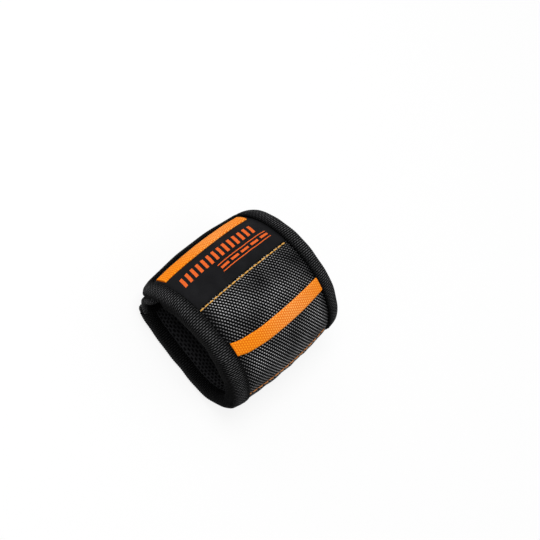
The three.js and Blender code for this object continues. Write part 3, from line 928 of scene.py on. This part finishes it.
def mesh_lining_material():
    material, layout, (u, s, _) = new_material("air_mesh_lining", roughness=0.85)
    holes = dash_mask(s, u, *MESH_CELL, MESH_COVER)
    bright = blend_colours(noise(layout, scale=0.1, detail=3.0), MESH_DARK, MESH_LIGHT)
    colour = blend_colours(holes, bright, MESH_HOLE)
    threads = number("ADD", number("MULTIPLY", holes, -1.0), 1.0)
    return dressed(material, colour, threads, strength=0.8, distance=0.0004)


def pile_material():
    material, layout, _ = new_material("loop_pile", roughness=0.95, sheen=0.03)
    fuzz = noise(layout, scale=1.6, detail=6.0)
    shade = weighted(fuzz, 0.7, noise(layout, scale=0.15, detail=3.0), 0.4)
    colour = blend_colours(shade, PILE_DARK, PILE_LIGHT)
    return dressed(material, colour, fuzz, strength=1.0, distance=0.0006)


def hook_material():
    material, layout, _ = new_material("hook_tape", roughness=0.4)
    colour = blend_colours(noise(layout, scale=0.6, detail=3.0), HOOK_DARK, HOOK_LIGHT)
    return dressed(material, colour)


def magnet_material():
    material, layout, _ = new_material("nickel_plate", roughness=0.28, metallic=1.0)
    place = new_node("TexCoord", layout).outputs["Object"]
    cloud = noise(place, scale=400.0, detail=4.0)
    colour = blend_colours(cloud, NICKEL_DARK, NICKEL_LIGHT)
    return dressed(material, colour, cloud, strength=0.05, distance=0.0001)


WOVEN = woven_material()
BINDING = binding_material()
SMOOTH = smooth_material()
WEBBING = webbing_material()
YELLOW_THREAD = striped_material("yellow_thread", light=(0.86, 0.5, 0.14), dark=(0.6, 0.28, 0.05))
ORANGE_THREAD = striped_material("orange_thread", light=(0.6, 0.26, 0.085), dark=(0.38, 0.13, 0.035))
BLACK_THREAD = striped_material("black_thread", light=(0.03, 0.03, 0.031), dark=(0.008, 0.008, 0.0085))
PRINT = striped_material("orange_print", light=(0.76, 0.135, 0.027), dark=(0.68, 0.11, 0.02))
LINING = mesh_lining_material()
PILE = pile_material()
HOOK = hook_material()
MAGNET = magnet_material()


# Folds: each bakes a piece's transform into its mesh; the places at the ends of its bend are worked out but
# not used


def bend_at_label(piece):
    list(map(point, LABEL_BEND))
    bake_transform(piece)


def bend_at_front(piece):
    """Works out the heights at the ends of the front's bend, which nothing uses, and bakes the piece's
    transform.
    """
    start, end = ((0.0, 0.0, point(station)[2]) for station in FRONT_BEND)
    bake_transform(piece)


def bend_at_flap(piece):
    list(map(point, FLAP_BEND))
    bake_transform(piece)


def bend_at_tail(piece):
    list(map(point, TAIL_BEND))
    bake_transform(piece)


# Padded panels


def panel(name, start, end, material, slot, node, round_end=0.0, thickness=FABRIC):
    along, across = sheet_grid(start, end, HALF_BAND - PANEL_INSET, PANEL_STEP, round_end)
    upper = panel_top(along, across)
    lower = np.minimum(upper - THINNEST_FABRIC, -thickness)
    piece = make_object(name, *slab_arrays(along, across, upper, lower), material, slot, node)
    return piece


bend_at_label(
    panel("woven_panel_upper", LABEL_FOLD + SEAM_GAP, FRONT_SPLIT, WOVEN, "nylon", "front_woven_panel")
)
bend_at_front(panel("woven_panel_lower", FRONT_SPLIT, SIDE_END, WOVEN, "nylon", "side_woven_panel"))
bend_at_label(
    panel("label_cover", LABEL_SPLIT, LABEL_FOLD - SEAM_GAP, SMOOTH, "smooth_fabric", "label_panel")
)
bend_at_flap(
    panel("flap_cover", LABEL_SPLIT, FLAP_END + END_INSET, SMOOTH, "smooth_fabric", "flap_web",
          round_end=END_CORNER - END_INSET, thickness=FLAP_WEB)
)


# Inner lining: quilted mesh that turns up round the ends of the pad


def pad_floor(along):
    """Inner face of the pad, which thins to the web before the flap's fold."""
    return -PAD + (PAD - FLAP_WEB) * ease((FLAP_FOLD + THINNING_START - along) / THINNING_LENGTH)


def lining(name, start, end, turned_up, nodes):
    along, across = sheet_grid(start, end, HALF_BAND - LINING_INSET, LINING_STEP)
    lower = pad_floor(along) + LINING_LIFT - LINING_QUILTING * field_height(LINING_COVER, along, across)
    rise = ease((TURN_UP - np.abs(along - turned_up)) / TURN_UP)
    upper = -PAD + LINING_TOP + (PAD - FABRIC - TURN_UP_ROOM) * rise
    upper = np.maximum(upper, lower + LINING_THICKNESS)
    piece = make_object(name, *slab_arrays(along, across, upper, lower), LINING, "lining", *nodes)
    return piece


LINING_START = FLAP_FOLD + FOLD_GAP
LINING_END = BACK_END - END_INSET
bend_at_label(
    lining("lining_upper", LINING_START, FRONT_SPLIT, LINING_START,
           ["label_lining", "label_foam", "front_lining", "front_foam"])
)
bend_at_front(lining("lining_lower", FRONT_SPLIT, LINING_END, LINING_END, ["back_lining", "back_foam"]))


# Bindings round every edge


def lip_depths(path):
    """Depth of the outer lip: the near edge's tape laps less far over the cover on the label and flap."""
    near = NEAR_WIDTH + NEAR_WIDENING * ease(path[:, 0] / LOWER_STRIP)
    return near + (BINDING_WIDTH - near) * ease((path[:, 1] + LIP_CHANGE) / LIP_CHANGE)


def edge_binding(name, nodes, start, end, side):
    path = edge_path(start, end, side)
    return sweep_binding(name, nodes, path, -PAD, 0.0, lip_depths(path), INNER_FLANGE)


for edge, side in (("near", -1), ("far", 1)):
    upper_nodes = [f"label_binding_{edge}", f"front_binding_{edge}"]
    lower_nodes = [f"back_binding_{edge}"]
    bend_at_label(edge_binding(f"binding_upper_{edge}", upper_nodes, FLAP_SPLIT, FRONT_SPLIT, side))
    bend_at_front(edge_binding(f"binding_lower_{edge}", lower_nodes, FRONT_SPLIT, SIDE_END, side))
    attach(edge_binding(f"binding_back_{edge}", [], SIDE_END, BACK_END - BACK_LAP, side), "back")

flap_path = round_path(FLAP_SPLIT, FLAP_END)
bend_at_flap(
    sweep_binding("flap_edge_binding", ["flap_binding"], flap_path, pad_floor(flap_path[:, 0]), 0.0,
                  lip_depths(flap_path), INNER_FLANGE)
)

tail_path = round_path(TAIL_ROOT, TAIL_TIP)
bend_at_tail(
    sweep_binding("tail_edge_binding", ["tail_binding"], tail_path, *TAIL_LAYER, TAIL_FLANGE, TAIL_FLANGE)
)

back_path, back_taper = end_path()
back_end = sweep_binding("back_end_tape", ["back_end_binding"], back_path, -PAD - END_SWELL, END_SWELL,
                         INNER_FLANGE, INNER_FLANGE, back_taper)
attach(back_end, "back")


# Orange webbing strips


def webbing_strip(name, node, station, width, start, end, skew=0.0, bow=0.0):
    """A ribbed strip laid across the band; skew moves its near end back, and bow its middle forward."""
    rows = width / 2 * np.sin(np.linspace(-np.pi / 2, np.pi / 2, STRIP_ROWS))
    away, across = np.meshgrid(rows, steps(start, end, WEBBING_STEP), indexing="ij")
    bowed = bow * (1 - ((2 * across - start - end) / (end - start)) ** 2)
    skewed = skew * sum(ease((begin - across) / length) for begin, length in SKEW_STRETCHES)
    along = station + away + bowed - skewed
    base = np.mean([panel_top(along, across + shift) for shift in STRIP_SMOOTHING], axis=0)
    rounding = ease(STRIP_EDGE_EASE + (width / 2 - np.abs(away)) / STRIP_ROUNDING)
    rib = -WEBBING_RIB * np.cos(2 * np.pi * across / WEBBING_PITCH)
    upper = base + STRIP_EDGE + (STRIP - STRIP_EDGE) * rounding + rib
    arrays = slab_arrays(along, across, upper, base + STRIP_LIFT)
    return make_object(name, *arrays, WEBBING, "orange_webbing", node)


lower_strip = webbing_strip("orange_strip_lower", "lower_orange_strip", *LOWER_STRIP_PLACE, skew=STRIP_SKEW)
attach(lower_strip, "front")
upper_strip = webbing_strip("orange_strip_upper", "upper_orange_strip", *UPPER_STRIP_PLACE, bow=STRIP_BOW)
bend_at_flap(upper_strip)


# Seams: yellow stitches at the label fold, orange ones at the front fold, black ones along the bindings

bend_at_label(
    fold_stitches("label_seam_stitches", "label_seam_thread", LABEL_FOLD + STITCH_FROM_FOLD,
                  YELLOW_STITCH, YELLOW_THREAD, "yellow_thread")
)
bend_at_front(
    fold_stitches("fold_seam_stitches", "fold_seam_thread", FRONT_FOLD - STITCH_FROM_FOLD,
                  ORANGE_STITCH, ORANGE_THREAD, "orange_thread")
)


def lip_height(along, across):
    return np.full_like(along, LIP_STITCH_HEIGHT)


def lip_stitches(name, start, end, side):
    length, pitch = LIP_STITCH[:2]
    facing = math.copysign(1.0, end - start)
    width = NEAR_WIDTH if side < 0 else BINDING_WIDTH
    place = side * (HALF_BAND - LIP_STITCH_DEPTH * width)
    count = int(abs(end - start) / pitch)
    starts = start + facing * LIP_STITCH_START + facing * pitch * np.arange(count)
    ends = [((s, place), (s + facing * length, place)) for s in starts]
    return thread_piece(name, ends, lip_height, LIP_STITCH, BLACK_THREAD, "binding")


for edge, side in (("near", -1), ("far", 1)):
    bend_at_label(lip_stitches(f"lip_stitches_upper_{edge}", FLAP_SPLIT, FRONT_SPLIT, side))
    bend_at_front(lip_stitches(f"lip_stitches_lower_{edge}", FRONT_SPLIT, SIDE_END, side))
    bend_at_flap(lip_stitches(f"lip_stitches_flap_{edge}", FLAP_SPLIT, FLAP_END + END_CORNER, side))


# Closure: loop pile on the back and on the tail, the tail's web, and hook tape under the flap


def tufts(along, across):
    one_way = np.sin(TUFT_RATES[0] * along + 2 * np.sin(TUFT_DRIFTS[0] * across))
    other_way = np.sin(TUFT_RATES[1] * across + 2 * np.sin(TUFT_DRIFTS[1] * along))
    return one_way * other_way


def pile_sheet(name, start, end, half, layer, node, round_end=0.0):
    along, across = sheet_grid(start, end, half, PILE_STEP, round_end)
    upper = layer[1] - TUFT + TUFT * tufts(along, across)
    arrays = slab_arrays(along, across, upper, np.full_like(upper, layer[0]))
    piece = make_object(name, *arrays, PILE, "loop_pile", node)
    middle = bend(along[:, 0], 0.0, layer[1])
    return piece


def tail_waves(along, across):
    return sum(height * np.sin(a * along + b * across + phase) for height, a, b, phase in TAIL_WAVES)


back_pile = pile_sheet(
    "back_loop_pile", SIDE_END + PILE_GAP, BACK_END - END_INSET,
    HALF_BAND - PANEL_INSET, BACK_PILE_LAYER, "back_pile_panel"
)
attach(back_pile, "back")
tail_pile = pile_sheet(
    "tail_loop_pile", TAIL_ROOT, TAIL_TIP - TAIL_FLANGE - LIP_GAP,
    HALF_BAND - TAIL_FLANGE - LIP_GAP, PILE_LAYER, "tail_pile_field", END_CORNER - TAIL_FLANGE - LIP_GAP
)
bend_at_tail(tail_pile)

tail_along, tail_across = sheet_grid(
    TAIL_ROOT, TAIL_TIP - END_INSET, HALF_BAND - END_INSET, WEB_STEP, END_CORNER - END_INSET
)
tail_upper = np.full_like(tail_along, TAIL_LAYER[1])
tail_lower = TAIL_LAYER[0] - TAIL_SAG * tail_waves(tail_along, tail_across)
tail_arrays = slab_arrays(tail_along, tail_across, tail_upper, tail_lower)
tail_web = make_object("tail_cover", *tail_arrays, SMOOTH, "smooth_fabric", "tail_web")
bend_at_tail(tail_web)


def hook_tape():
    """A base tape with rows of small hooks standing on its inner face."""
    start, end = FLAP_FOLD - FOLD_GAP, FLAP_END + INNER_FLANGE + LIP_GAP
    half = HALF_BAND - INNER_FLANGE - LIP_GAP
    radius = END_CORNER - INNER_FLANGE - LIP_GAP
    along, across = sheet_grid(start, end, half, WEB_STEP, radius)
    high = np.full_like(along, HOOK_LAYER[1] + HOOK_BASE_RISE)
    groups = [slab_arrays(along, across, high, high - HOOK_BASE)]
    lean, rise, thick = (np.array(column)[:, None] for column in zip(*HOOK_PROFILE))
    corners = np.array(SQUARE)
    rings, sides = len(HOOK_PROFILE), len(corners)
    root_cap = np.arange(sides)[None, ::-1]
    tip_cap = (rings - 1) * sides + np.arange(sides)[None, :]
    faces = np.concatenate([tube_walls(rings, sides), root_cap, tip_cap])
    out = np.broadcast_to(HOOK_LAYER[1] - HOOK_ROOT - rise, (rings, sides))
    for s in np.arange(start - HOOK_ROW_PITCH, end + HOOK_END_MARGIN, -HOOK_ROW_PITCH):
        inset = max(0.0, radius - (s - end))
        for u in np.arange(-half + HOOK_MARGIN + inset, half - HOOK_MARGIN - inset, HOOK_PITCH):
            along = s + lean + thick * corners[:, 0]
            across = u + thick * corners[:, 1]
            points = bend(along, across, out).reshape(-1, 3)
            groups.append((points, faces, np.stack([across, along, out], -1).reshape(-1, 3)))
    return join(groups)


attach(make_object("hook_tape", *hook_tape(), HOOK, "hook_tape", "hook_patch"), "flap")


# Printed lines, dashes and bars on the label


def printed(name, shapes):
    """Thin raised prints, each given by its four corners as [along, across]."""
    t = np.linspace(0, 1, PRINT_STEPS)[:, None]
    groups = []
    for a, b, c, d in np.array(shapes):
        edges = np.stack([a + (b - a) * t, d + (c - d) * t], 1)
        along, across = edges[..., 0], edges[..., 1]
        base = panel_top(along, across)
        groups.append(slab_arrays(along, across, base + PRINT_LAYER[1], base + PRINT_LAYER[0]))
    return make_object(name, *join(groups), PRINT, "orange_webbing")


def printed_line(station, width, start, end):
    low, high = station - width / 2, station + width / 2
    return [(low, start), (low, end), (high, end), (high, start)]


def printed_bar(station, place):
    """A slanted bar, its foot toward the yellow seam."""
    top, foot = station - BAR_HEIGHT / 2, station + BAR_HEIGHT / 2
    over = place + BAR_SLANT
    return [(foot, place), (top, over), (top, over + BAR_WIDTH), (foot, place + BAR_WIDTH)]


lines = [printed_line(station, LINE_WIDTH, *LINE_ENDS) for station in LINE_STATIONS]
lines += [printed_line(DASH_STATION, DASH_WIDTH, u, u + DASH_LENGTH) for u in DASH_PLACES]
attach(printed("printed_lines", lines), "label")
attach(printed("printed_bars", [printed_bar(BAR_STATION, u) for u in BAR_PLACES]), "label")


# Magnets keep the model's solids

for name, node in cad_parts.items():
    if "magnet" in name:
        node.data.materials.clear()
        node.data.materials.append(MAGNET)


# Floor, light and camera


def area_light(name, place, size, power):
    lamp = bpy.data.lights.new(name, "AREA")
    lamp.shape = "SQUARE"
    lamp.size = size
    lamp.energy = power
    light = add_object(name, lamp)
    light.location = place
    light.rotation_euler = (CAMERA_AIM - Vector(place)).to_track_quat("-Z", "Y").to_euler()


def pale_background(shader, white_kind, output, share=1.0):
    """White, to a share, where the camera and mirror-like surfaces see it; the shader for other light."""
    tree = shader.id_data
    white = tree.nodes.new(white_kind)
    wire(white, {"Color": WHITE})
    path = tree.nodes.new("ShaderNodeLightPath")
    seen = number("MAXIMUM", path.outputs["Is Camera Ray"], path.outputs["Is Glossy Ray"])
    seen = number("MAXIMUM", seen, path.outputs["Is Transmission Ray"])
    mix = tree.nodes.new("ShaderNodeMixShader")
    wire(mix, {0: number("MULTIPLY", seen, share), 1: shader.outputs[0], 2: white.outputs[0]})
    wire(tree.nodes[output], {"Surface": mix.outputs[0]})


def floor_material():
    material = bpy.data.materials.new("pale_floor")
    material.use_nodes = True
    shader = material.node_tree.nodes["Principled BSDF"]
    wire(shader, {"Base Color": FLOOR_COLOUR, "Roughness": FLOOR_ROUGHNESS})
    pale_background(shader, "ShaderNodeEmission", "Material Output", FLOOR_WHITE)
    return material


def white_sky():
    world = bpy.data.worlds.new("studio")
    world.use_nodes = True
    sky = world.node_tree.nodes["Background"]
    wire(sky, {"Color": WHITE, "Strength": SKY_STRENGTH})
    pale_background(sky, "ShaderNodeBackground", "World Output")
    return world


floor_corners = [(x * FLOOR_HALF, y * FLOOR_HALF, 0) for x, y in SQUARE]
floor_mesh = bpy.data.meshes.new("floor")
floor_mesh.from_pydata(floor_corners, [], [(0, 1, 2, 3)])
floor_mesh.materials.append(floor_material())
floor = add_object("floor", floor_mesh)
floor.location.z = cad_box[0][2] - FLOOR_DROP

bpy.context.scene.world = white_sky()
for name, (place, size, power) in LAMPS.items():
    area_light(name, place, size, power)

camera_data = bpy.data.cameras.new("camera")
camera_data.lens = LENS
camera_data.sensor_width = SENSOR
camera_data.sensor_fit = "HORIZONTAL"
camera_data.shift_x = 0.5 - AIM_PIXEL[0] / FRAME_PIXELS
camera_data.shift_y = AIM_PIXEL[1] / FRAME_PIXELS - 0.5
camera_data.clip_start = CAMERA_CLIP
camera = add_object("camera", camera_data)
camera_back = CAMERA_RIGHT.cross(CAMERA_UP)
camera_axes = Matrix((CAMERA_RIGHT, CAMERA_UP, camera_back)).transposed().to_4x4()
camera.matrix_world = Matrix.Translation(CAMERA_AIM + CAMERA_DISTANCE * camera_back) @ camera_axes
bpy.context.scene.camera = camera
bpy.context.scene.view_settings.view_transform = "Standard"
